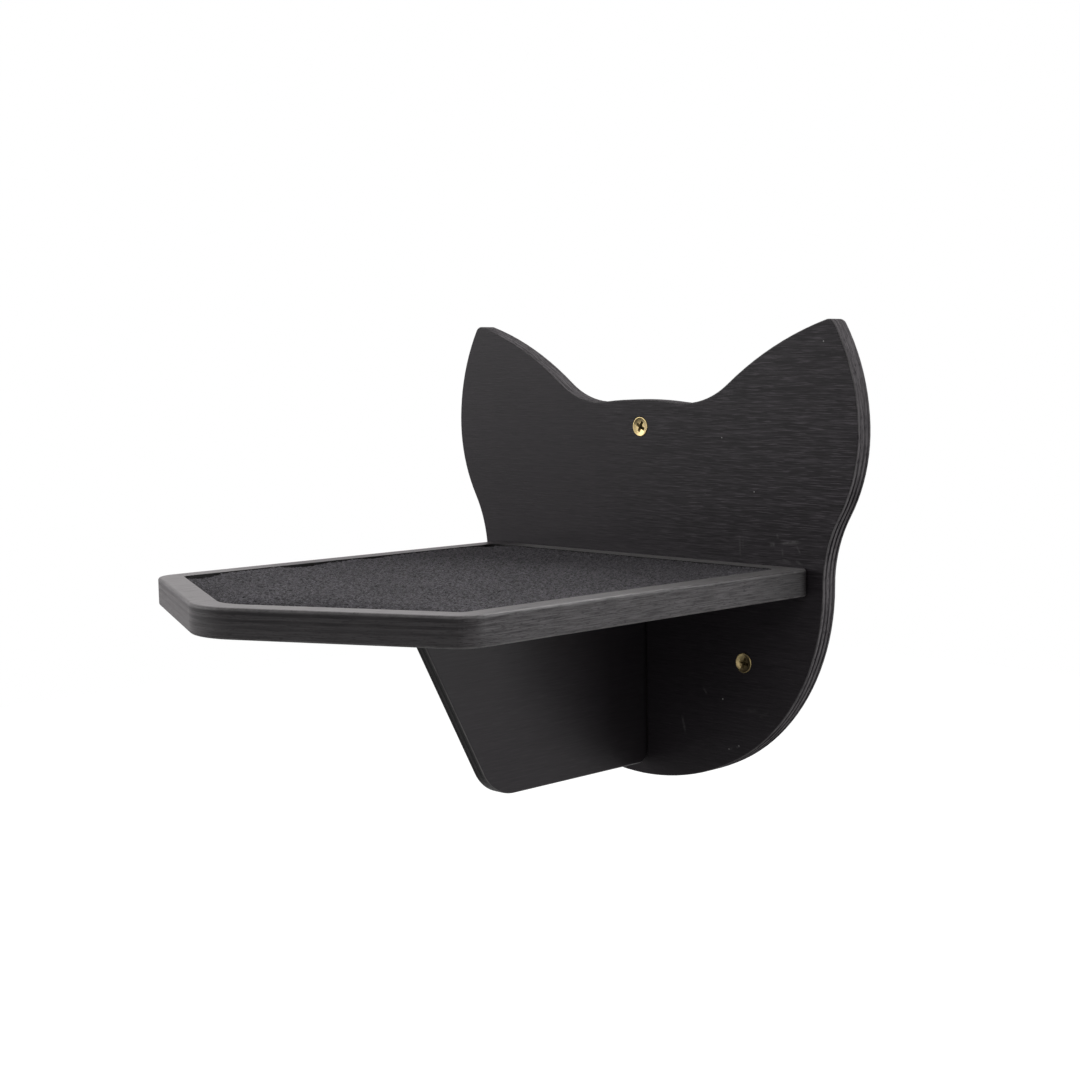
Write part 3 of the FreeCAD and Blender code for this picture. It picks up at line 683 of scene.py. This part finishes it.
def charcoal_felt(colours):
    """Short felt: dark between the tufts, with a few pale fibres and a soft sheen."""
    finish = Finish.material("charcoal_felt")
    point = finish.point()
    x, y, z = finish.split(point).values()
    tufts = finish.cloud(x * 0.95, y * 0.55, z * 0.9, 3.0, 0.7)
    grit = finish.cloud(x * 3.2, y * 3.2, z * 3.2, 2.0, 0.7)
    patch = finish.cloud(x * 0.03, y * 0.03, 0.0)
    tone = (tufts * 0.75 + grit * 0.25).between(0.40, 0.62)
    base = finish.blend(colours.felt, colours.tuft, tone * (patch * 0.6 + 0.6))
    flecks = finish.specks(point, 0.33, (0.06, 0.13), (0.86, 0.88))
    base = finish.blend(base, colours.fleck, flecks * 0.6)
    finish.shade(
        {
            "Base Color": base,
            "Roughness": 0.95 - grit * 0.1,
            "Specular IOR Level": 0.2,
            "Sheen Weight": 0.08,
            "Sheen Roughness": 0.5,
            "Normal": finish.relief(tufts * 0.5 + grit * 0.5, 0.35),
        }
    )
    return finish.block


def plated_steel(name, colour, tint):
    """Zinc plating: cloudy passivation, fine wire-drawn marks, worn spots and painted shade in the
    recesses.
    """
    finish = Finish.material(name)
    x, y, z = finish.split(finish.point()).values()
    cloudy = finish.cloud(x * 0.45, y * 0.45, z * 0.45).between(0.35, 0.65)
    drawn = finish.cloud(x * 6.0, y * 0.8, z * 6.0, 2.0, 0.6)
    spots = finish.cloud(x * 2.2, y * 2.2, z * 2.2, 2.0, 0.6).between(0.60, 0.75)
    grime = finish.add("ShaderNodeAttribute", {"attribute_name": "grime"}).other("Fac")
    base = finish.blend(colour, tint, cloudy * 0.7)
    base = finish.blend(base, WORN_STEEL, spots * 0.35)
    # Painted shade in the cross recess, where the mesh marks it.
    base = finish.blend(base, PAINTED_RECESS_SHADE, grime * 0.85)
    finish.shade(
        {
            "Base Color": base,
            "Metallic": 1.0,
            "Roughness": 0.24 + cloudy * 0.08 + spots * 0.20 + drawn * 0.05 + grime * 0.3,
            "Normal": finish.relief(drawn * 0.6 + spots * 0.4, 0.012),
        }
    )
    return finish.block


def beech_wood():
    """Pale beech with short dark flecks along the dowel."""
    finish = Finish.material("beech_dowel")
    x, y, z = finish.split(finish.point()).values()
    ring = finish.cloud(x * 0.5, y * 0.03, z * 0.5, 3.0, 0.6)
    fleck = finish.cloud(x * 2.4, y * 0.35, z * 2.4, 2.0, 0.6).between(0.60, 0.72)
    base = finish.blend(BEECH, BEECH_RING, ring.between(0.3, 0.7))
    base = finish.blend(base, BEECH_FLECK, fleck * 0.6)
    finish.shade(
        {
            "Base Color": base,
            "Roughness": 0.62 + ring * 0.1,
            "Normal": finish.relief(ring * 0.5 - fleck * 0.5, 0.03),
        }
    )
    return finish.block


def join_loops(shape, loops):
    """Faces from each closed loop of points to the next."""
    for upper, lower in zip(loops, loops[1:]):
        for here in range(len(upper)):
            after = (here + 1) % len(upper)
            shape.faces.new((upper[here], upper[after], lower[after], lower[here]))


def made_mesh(name, shape):
    """The mesh of a finished shape, which is then let go."""
    mesh = bpy.data.meshes.new(name)
    shape.to_mesh(mesh)
    shape.free()
    return mesh


def carpet_edge(side, rear, settings, steps=8):
    """Points of the right-hand edge from the rear to the tip, with its corners rounded."""
    shoulder, tip = settings.shoulder, settings.tip
    sharp = [(0.0, rear), (side, rear), (side, shoulder), (0.0, tip), (-side, shoulder)]
    sharp = [Vector(place) for place in sharp]
    radii = (settings.corner, settings.corner, settings.tip_round)
    points = []
    for before, here, after, radius in zip(sharp, sharp[1:], sharp[2:], radii):
        back, ahead = (before - here).normalized(), (after - here).normalized()
        half = back.angle(ahead) / 2
        centre = here + (back + ahead).normalized() * (radius / math.sin(half))
        start = here + back * (radius / math.tan(half)) - centre
        sweep = start.angle_signed(here + ahead * (radius / math.tan(half)) - centre)
        points += [
            centre + Matrix.Rotation(-sweep * step / steps, 2) @ start for step in range(steps + 1)
        ]
    return [place for place in points if place.x >= -1e-6]


def half_width(edge, y):
    """Half of the carpet's width at a depth y."""
    for near, far in zip(edge, edge[1:]):
        if far.y <= y <= near.y and near.y > far.y:
            return near.x + (far.x - near.x) * (near.y - y) / (near.y - far.y)
    return 0.0


def felt_height(x, y, swell):
    """Height of the felt's tufts over its mean level."""
    x, y = x / MM, y / MM
    return swell * sum(
        noise.noise(Vector((x * across, y * along, layer))) * share
        for across, along, layer, share in FELT_RELIEF
    )


class Carpet:
    """The carpet's cut, and the level of its top and underside."""

    def __init__(self, settings):
        (_, _, self.under), (side, rear, self.top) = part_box("carpet_pad")
        self.settings = settings
        self.edge = carpet_edge(side, rear, settings)
        self.rear, self.front = self.edge[0].y, self.edge[-1].y
        self.side = side
        slant = Vector((side, settings.shoulder - settings.tip)).normalized()
        self.front_normal = Vector((-slant.y, slant.x))
        self.tip_centre = Vector((0, settings.tip + settings.tip_round / slant.x))

    def rim_distance(self, x, y):
        """How far a point is inside the nearest edge."""
        from_tip = Vector((abs(x), y)) - self.tip_centre
        if from_tip.x * self.front_normal.y > from_tip.y * self.front_normal.x:
            front = from_tip.dot(self.front_normal) + self.settings.tip_round
        else:
            front = self.settings.tip_round - from_tip.length
        return min(self.side - abs(x), self.rear - y, front)

    def surface(self, x, y):
        """A point of the pile's top, which rounds off towards the edges."""
        inside, from_left = self.rim_distance(x, y) / MM, (x + self.side) / MM
        drop = EDGE_DROP * max(0.0, 1.0 - inside / EDGE_REACH) ** 2
        if from_left < PRESS_REACH:
            for place, half, deep in PRESSED:
                share = max(0.0, 1.0 - ((y / MM - place) / half) ** 2)
                drop += deep * share * (1.0 - from_left / PRESS_REACH)
        level = self.top + felt_height(x, y, self.settings.swell) - drop * MM
        return Vector((x, y, level))


def felt_mesh(carpet):
    """The carpet's closed mesh: a tufted top, an uneven cut edge and a flat underside."""
    settings = carpet.settings
    rows = round((carpet.rear - carpet.front) / settings.grid)
    columns = round(2 * carpet.side / settings.grid)
    shape = bmesh.new()
    grid = []
    for row in range(rows + 1):
        y = carpet.rear + (carpet.front - carpet.rear) * row / rows
        wide = max(half_width(carpet.edge, y), NARROWEST * MM)
        grid.append(
            [
                shape.verts.new(carpet.surface(wide * (2 * column / columns - 1), y))
                for column in range(columns + 1)
            ]
        )
    for near, far in zip(grid, grid[1:]):
        for column in range(columns):
            shape.faces.new((near[column], far[column], far[column + 1], near[column + 1]))
    rim = (
        grid[0][:-1]
        + [row[-1] for row in grid[:-1]]
        + grid[-1][:0:-1]
        + [row[0] for row in grid[:0:-1]]
    )
    loops = [rim]
    for share in (0.4, 0.75, 1.0):
        loop = []
        for vert in rim:
            x, y, z = vert.co
            fray = 1 + FRAY * noise.noise(Vector((x / MM * 0.7, y / MM * 0.7, share * 9)))
            level = z + (carpet.under - z) * share
            loop.append(shape.verts.new((x * fray, y, level)))
        loops.append(loop)
    join_loops(shape, loops)
    shape.faces.new(loops[-1][::-1])
    bmesh.ops.recalc_face_normals(shape, faces=shape.faces)
    for face in shape.faces:
        face.smooth = len(face.verts) == 4
    return made_mesh("carpet", shape)


def fibre_mesh(carpet):
    """Loose curled fibres that stand out of the felt, each a thin three-sided strand."""
    draw = random.Random(FIBRE_SEED)
    runs = FIBRE_RINGS - 1
    verts, faces = [], []
    while len(verts) < carpet.settings.fibres * FIBRE_RINGS * 3:
        x = draw.uniform(-carpet.side, carpet.side)
        y = draw.uniform(carpet.front, carpet.rear)
        if carpet.rim_distance(x, y) < FIBRE_MARGIN * MM:
            continue
        heading, curl = draw.uniform(0, math.tau), draw.uniform(*FIBRE_CURL)
        length, lift = draw.uniform(*FIBRE_LENGTH) * MM, draw.uniform(*FIBRE_LIFT) * MM
        thick = draw.uniform(*FIBRE_THICK) * MM
        spot, first = Vector((x, y)), len(verts)
        for step in range(FIBRE_RINGS):
            share = step / runs
            turn = heading + curl * share
            rise = lift * math.sin(math.pi * (0.15 + share * 0.6))
            side = Vector((-math.sin(turn), math.cos(turn), 0)) * thick * (1 - share * 0.6)
            core = Vector((spot.x, spot.y, carpet.surface(spot.x, spot.y).z + rise))
            verts += [core + side, core - side, core + Vector((0, 0, side.length * 1.5))]
            spot += Vector((math.cos(turn), math.sin(turn))) * length / runs
        for step in range(runs):
            base = first + step * 3
            faces += [
                (base + k, base + (k + 1) % 3, base + 3 + (k + 1) % 3, base + 3 + k)
                for k in range(3)
            ]
        last = first + runs * 3
        faces += [(first + 2, first + 1, first), (last, last + 1, last + 2)]
    mesh = bpy.data.meshes.new("carpet_fibres")
    mesh.from_pydata(verts, [], faces)
    return mesh


def cross_reach(angle, span, slot):
    """Distance from the centre of a cross recess to its wall, at an angle."""
    folded = abs((angle + math.pi / 4) % (math.pi / 2) - math.pi / 4)
    corner = math.atan2(slot / 2, span / 2)
    if folded <= corner + 1e-9:
        return span / 2 / math.cos(folded)
    return slot / 2 / math.sin(folded)


def recess_angles(span, slot, steps=6):
    """Angles round a screw that take in every corner of its cross recess."""
    corner = math.atan2(slot / 2, span / 2)
    eighth = [corner * step / 2 for step in range(2)]
    eighth += [corner + (math.pi / 4 - corner) * step / steps for step in range(steps + 1)]
    quarter = eighth + [math.pi / 2 - angle for angle in eighth[-2:0:-1]]
    return [angle + quarter_turn * math.pi / 2 for quarter_turn in range(4) for angle in quarter]


def screw_head(shape, angles, head, neck, recess, thread_start):
    """A screw from its cross recess over its dished face and cone to the end of its neck."""
    span, slot, deep = (size * MM for size in recess)
    grime = shape.verts.layers.float.new("grime")

    def ring(reach, level):
        return [
            shape.verts.new((reach(a) * math.cos(a), reach(a) * math.sin(a), level))
            for a in angles
        ]

    def cross(span_share, slot_share, wider=0.0):
        return lambda a: cross_reach(a, span * span_share, slot * slot_share) + wider

    def circle(radius):
        return lambda a: radius

    cone_end = head / 2 - neck + 0.55 * MM
    dish = head * 0.04
    rings = [
        ring(circle(0.02 * MM), deep + 0.25 * MM),
        ring(cross(0.42, 0.62), deep),
        ring(cross(0.95, 0.96), dish + 0.14 * MM),
        ring(cross(1.0, 1.0, 0.10 * MM), dish + 0.03 * MM),
        ring(circle(head * 0.40), dish * 0.75),
        ring(circle(head * 0.445), 0.04 * MM),
        ring(circle(head * 0.46), 0.0),
        ring(circle(head / 2 - 0.12 * MM), 0.06 * MM),
        ring(circle(head / 2 - 0.02 * MM), 0.20 * MM),
        ring(circle(head / 2), 0.38 * MM),
        ring(circle(head / 2 - 0.03 * MM), 0.55 * MM),
        ring(circle(neck * 1.12), cone_end - 0.1 * MM),
        ring(circle(neck), cone_end + 0.5 * MM),
        ring(circle(neck), thread_start),
    ]
    join_loops(shape, rings)
    shape.faces.new(rings[0][::-1])
    # Painted shade: the recess's rings are marked to be darker, fully at its bottom.
    for loop, share in zip(rings, (1.0, 1.0, 0.55)):
        for vert in loop:
            vert[grime] = share


def screw_thread(shape, angles, length, shank, neck, point, pitch, thread_start):
    """A thread that winds from the neck to the tip and tapers over the point."""
    turns = math.ceil((length - thread_start) / pitch)
    crest = shank - neck * (1 - THREAD_CUT)
    strips = []
    for row in range(-THREAD_SLICES, turns * THREAD_SLICES + 1):
        wound = row / THREAD_SLICES
        phase = abs(wound % 1.0 - 0.5) * 2
        strip = []
        for angle in (*angles, math.tau + angles[0]):
            level = thread_start + pitch * (wound + angle / math.tau)
            level = min(max(level, thread_start), length)
            into = level - thread_start
            taper = min(1.0, max(0.0, (length - level) / point)) ** POINT_FULLNESS
            lead_in = min(1.0, into / (pitch * LEAD_IN))
            ridge = max(0.0, 1.0 - phase / RIDGE_WIDTH) if 0.0 < into else 0.0
            core = neck * (1.0 - THREAD_CUT * lead_in)
            radius = (core + crest * ridge * lead_in) * taper
            strip.append(
                shape.verts.new((radius * math.cos(angle), radius * math.sin(angle), level))
            )
        strips.append(strip)
    for upper, lower in zip(strips, strips[1:]):
        for here in range(len(angles)):
            shape.faces.new((upper[here], upper[here + 1], lower[here + 1], lower[here]))


def screw_mesh(name, length, head, kind):
    """A countersunk screw along +Z from its head's face at z = 0."""
    shank, neck = kind.shank * MM / 2, kind.neck * MM / 2
    point, pitch = kind.point * MM, kind.pitch * MM
    thread_start = length - point - kind.thread * MM
    span, slot, _ = (size * MM for size in kind.recess)
    angles = recess_angles(span, slot)
    shape = bmesh.new()
    screw_head(shape, angles, head, neck, kind.recess, thread_start)
    screw_thread(shape, angles, length, shank, neck, point, pitch, thread_start)
    bmesh.ops.remove_doubles(shape, verts=shape.verts, dist=WELD)
    bmesh.ops.dissolve_degenerate(shape, edges=shape.edges, dist=WELD)
    bmesh.ops.recalc_face_normals(shape, faces=shape.faces)
    for face in shape.faces:
        face.smooth = True
    mesh = made_mesh(name, shape)
    mesh.set_sharp_from_angle(angle=CREASE)
    return mesh


def drive_screw(node, kind, heading, turn, material):
    """One screw where the CAD has it, head face and point at the ends of the node's box."""
    low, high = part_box(node)
    size = high - low
    middle = (low + high) / 2
    length = abs(size.dot(heading))
    face = middle - heading * (length / 2)
    mesh = screw_mesh(node, length, min(size), kind)
    aim = heading.to_track_quat("Z", "Y").to_matrix().to_4x4()
    mesh.transform(Matrix.Translation(face) @ aim @ Matrix.Rotation(math.radians(turn), 4, "Z"))
    piece = new_object(f"{node}_plated", mesh, material)
    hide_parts(node)


class CATSTEP_OT_stain_boards(bpy.types.Operator):
    """Stain the back plate, the shelf and the bracket"""

    bl_idname = "catstep.stain_boards"
    bl_label = "Stain boards"

    def execute(self, context):
        for node, board in BOARDS.items():
            stained = StainedBoard(node, board, context.scene.catstep_boards)
            dress_node(node, stained.material())
        return {"FINISHED"}


class CATSTEP_OT_lay_carpet(bpy.types.Operator):
    """Lay the carpet in the shelf's pocket"""

    bl_idname = "catstep.lay_carpet"
    bl_label = "Lay carpet"

    def execute(self, context):
        settings = context.scene.catstep_carpet
        carpet = Carpet(settings)
        felt = charcoal_felt(settings)
        pile = new_object("carpet", felt_mesh(carpet), felt)
        fibres = new_object("carpet_fibres", fibre_mesh(carpet), felt)
        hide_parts("carpet_pad")
        cut = zip(carpet.edge, carpet.edge[1:])
        sum((near.x + far.x) * (near.y - far.y) for near, far in cut)
        return {"FINISHED"}


class CATSTEP_OT_drive_wall_screws(bpy.types.Operator):
    """Drive the three yellow screws through the plate into the wall"""

    bl_idname = "catstep.drive_wall_screws"
    bl_label = "Drive wall screws"

    def execute(self, context):
        plating = context.scene.catstep_screws
        zinc = plated_steel("yellow_zinc_plating", plating.yellow, plating.yellow_tint)
        for node, (kind, heading, turn) in WALL_SCREWS.items():
            drive_screw(node, kind, heading, turn, zinc)
        return {"FINISHED"}


class CATSTEP_OT_drive_joint_screws(bpy.types.Operator):
    """Drive the bright screws that hold the shelf, the bracket and the plate together"""

    bl_idname = "catstep.drive_joint_screws"
    bl_label = "Drive joint screws"

    def execute(self, context):
        plating = context.scene.catstep_screws
        zinc = plated_steel("bright_zinc_plating", plating.bright, plating.bright_tint)
        for node, (kind, heading, turn) in JOINT_SCREWS.items():
            drive_screw(node, kind, heading, turn, zinc)
        return {"FINISHED"}


class CATSTEP_OT_fit_dowels(bpy.types.Operator):
    """Finish the two beech dowels between the plate and the shelf"""

    bl_idname = "catstep.fit_dowels"
    bl_label = "Fit dowels"

    def execute(self, context):
        beech = beech_wood()
        for node in ("dowel_left", "dowel_right"):
            dress_node(node, beech)
        return {"FINISHED"}


class CATSTEP_OT_set_stage(bpy.types.Operator):
    """Set the pale floor, the white surround, the softboxes and the camera"""

    bl_idname = "catstep.set_stage"
    bl_label = "Set stage"

    def execute(self, context):
        settings = context.scene.catstep_stage
        scene = context.scene
        scene.view_settings.view_transform = "Standard"
        self.lay_floor(scene, settings)
        self.light_surround(scene, settings)
        for name, (place, size) in SOFTBOXES.items():
            self.hang_softbox(scene, f"{name}_softbox", place, size, getattr(settings, name))
        self.set_camera(scene, settings)
        return {"FINISHED"}

    def lay_floor(self, scene, settings):
        """A matt floor that glows a little, so that it looks white and reflects as pale."""
        reach, level = FLOOR_REACH, settings.floor_height
        mesh = bpy.data.meshes.new("studio_floor")
        corners = [(-reach, -reach), (reach, -reach), (reach, reach), (-reach, reach)]
        mesh.from_pydata([(x, y, level) for x, y in corners], [], [(0, 1, 2, 3)])
        floor = bpy.data.objects.new("studio_floor", mesh)
        scene.collection.objects.link(floor)
        finish = Finish.material("studio_floor")
        matt = finish.add("ShaderNodeBsdfDiffuse", None, {"Color": rgba(settings.floor)})
        sheet = matt
        for ray, share in FLOOR_GLOW.items():
            glow = finish.add("ShaderNodeEmission", None, {"Color": WHITE, "Strength": share})
            lit = finish.add("ShaderNodeAddShader", None, {"Shader": matt, "Shader_001": glow})
            sheet = finish.where(ray, sheet, lit)
        finish.connect(finish.tree.nodes["Material Output"], {"Surface": sheet})
        mesh.materials.append(finish.block)

    def light_surround(self, scene, settings):
        """A white surround that lights the step only a little."""
        world = bpy.data.worlds.new("white_surround")
        world.use_nodes = True
        scene.world = world
        finish = Finish(world.node_tree, world)
        surround = finish.add(
            "ShaderNodeBackground", None, {"Color": WHITE, "Strength": settings.ambient}
        )
        for ray, colour in SURROUND.items():
            shown = finish.add("ShaderNodeBackground", None, {"Color": colour, "Strength": 1.0})
            surround = finish.where(ray, surround, shown)
        finish.connect(world.node_tree.nodes["World Output"], {"Surface": surround})

    def hang_softbox(self, scene, name, place, size, power):
        """A square lamp that looks at the step."""
        lamp = bpy.data.lights.new(name, "AREA")
        lamp.shape = "SQUARE"
        lamp.size = size
        lamp.energy = power
        softbox = bpy.data.objects.new(name, lamp)
        softbox.location = place
        aim = (Vector(place) - SOFTBOX_AIM).to_track_quat("Z", "Y")
        softbox.rotation_euler = aim.to_euler()
        scene.collection.objects.link(softbox)

    def set_camera(self, scene, settings):
        """The camera at the photograph's place and angle."""
        lens = bpy.data.cameras.new("photo_camera")
        lens.sensor_width = SENSOR_WIDTH
        lens.lens = settings.lens
        lens.shift_x, lens.shift_y = settings.shift
        camera = bpy.data.objects.new("photo_camera", lens)
        turn = (
            Matrix.Rotation(settings.azimuth, 4, "Z")
            @ Matrix.Rotation(math.pi / 2 - settings.elevation, 4, "X")
            @ Matrix.Rotation(settings.roll, 4, "Z")
        )
        camera.matrix_world = Matrix.Translation(settings.eye) @ turn
        scene.collection.objects.link(camera)
        scene.camera = camera


class CATSTEP_PT_panel(bpy.types.Panel):
    """The step's finishes and stage"""

    bl_idname = "CATSTEP_PT_panel"
    bl_label = "Cat wall step"
    bl_space_type = "VIEW_3D"
    bl_region_type = "UI"
    bl_category = "Cat step"

    def draw(self, context):
        for group in SETTINGS:
            box = self.layout.box()
            settings = getattr(context.scene, group)
            for name in settings.bl_rna.properties.keys():
                if name not in {"rna_type", "name"}:
                    box.prop(settings, name)
        for operator in OPERATORS:
            self.layout.operator(operator.bl_idname)


SETTINGS = {
    "catstep_boards": CATSTEP_PG_boards,
    "catstep_carpet": CATSTEP_PG_carpet,
    "catstep_screws": CATSTEP_PG_screws,
    "catstep_stage": CATSTEP_PG_stage,
}
OPERATORS = (
    CATSTEP_OT_stain_boards,
    CATSTEP_OT_lay_carpet,
    CATSTEP_OT_drive_wall_screws,
    CATSTEP_OT_drive_joint_screws,
    CATSTEP_OT_fit_dowels,
    CATSTEP_OT_set_stage,
)


def register():
    for name, group in SETTINGS.items():
        bpy.utils.register_class(group)
        setattr(bpy.types.Scene, name, bpy.props.PointerProperty(type=group))
    for kind in (*OPERATORS, CATSTEP_PT_panel):
        bpy.utils.register_class(kind)


def unregister():
    for kind in reversed((*OPERATORS, CATSTEP_PT_panel)):
        bpy.utils.unregister_class(kind)
    for name, group in SETTINGS.items():
        delattr(bpy.types.Scene, name)
        bpy.utils.unregister_class(group)


def main():
    """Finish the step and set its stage."""
    register()
    bpy.ops.catstep.stain_boards()
    bpy.ops.catstep.lay_carpet()
    bpy.ops.catstep.drive_wall_screws()
    bpy.ops.catstep.drive_joint_screws()
    bpy.ops.catstep.fit_dowels()
    bpy.ops.catstep.set_stage()


if __name__ == "__main__":
    main()
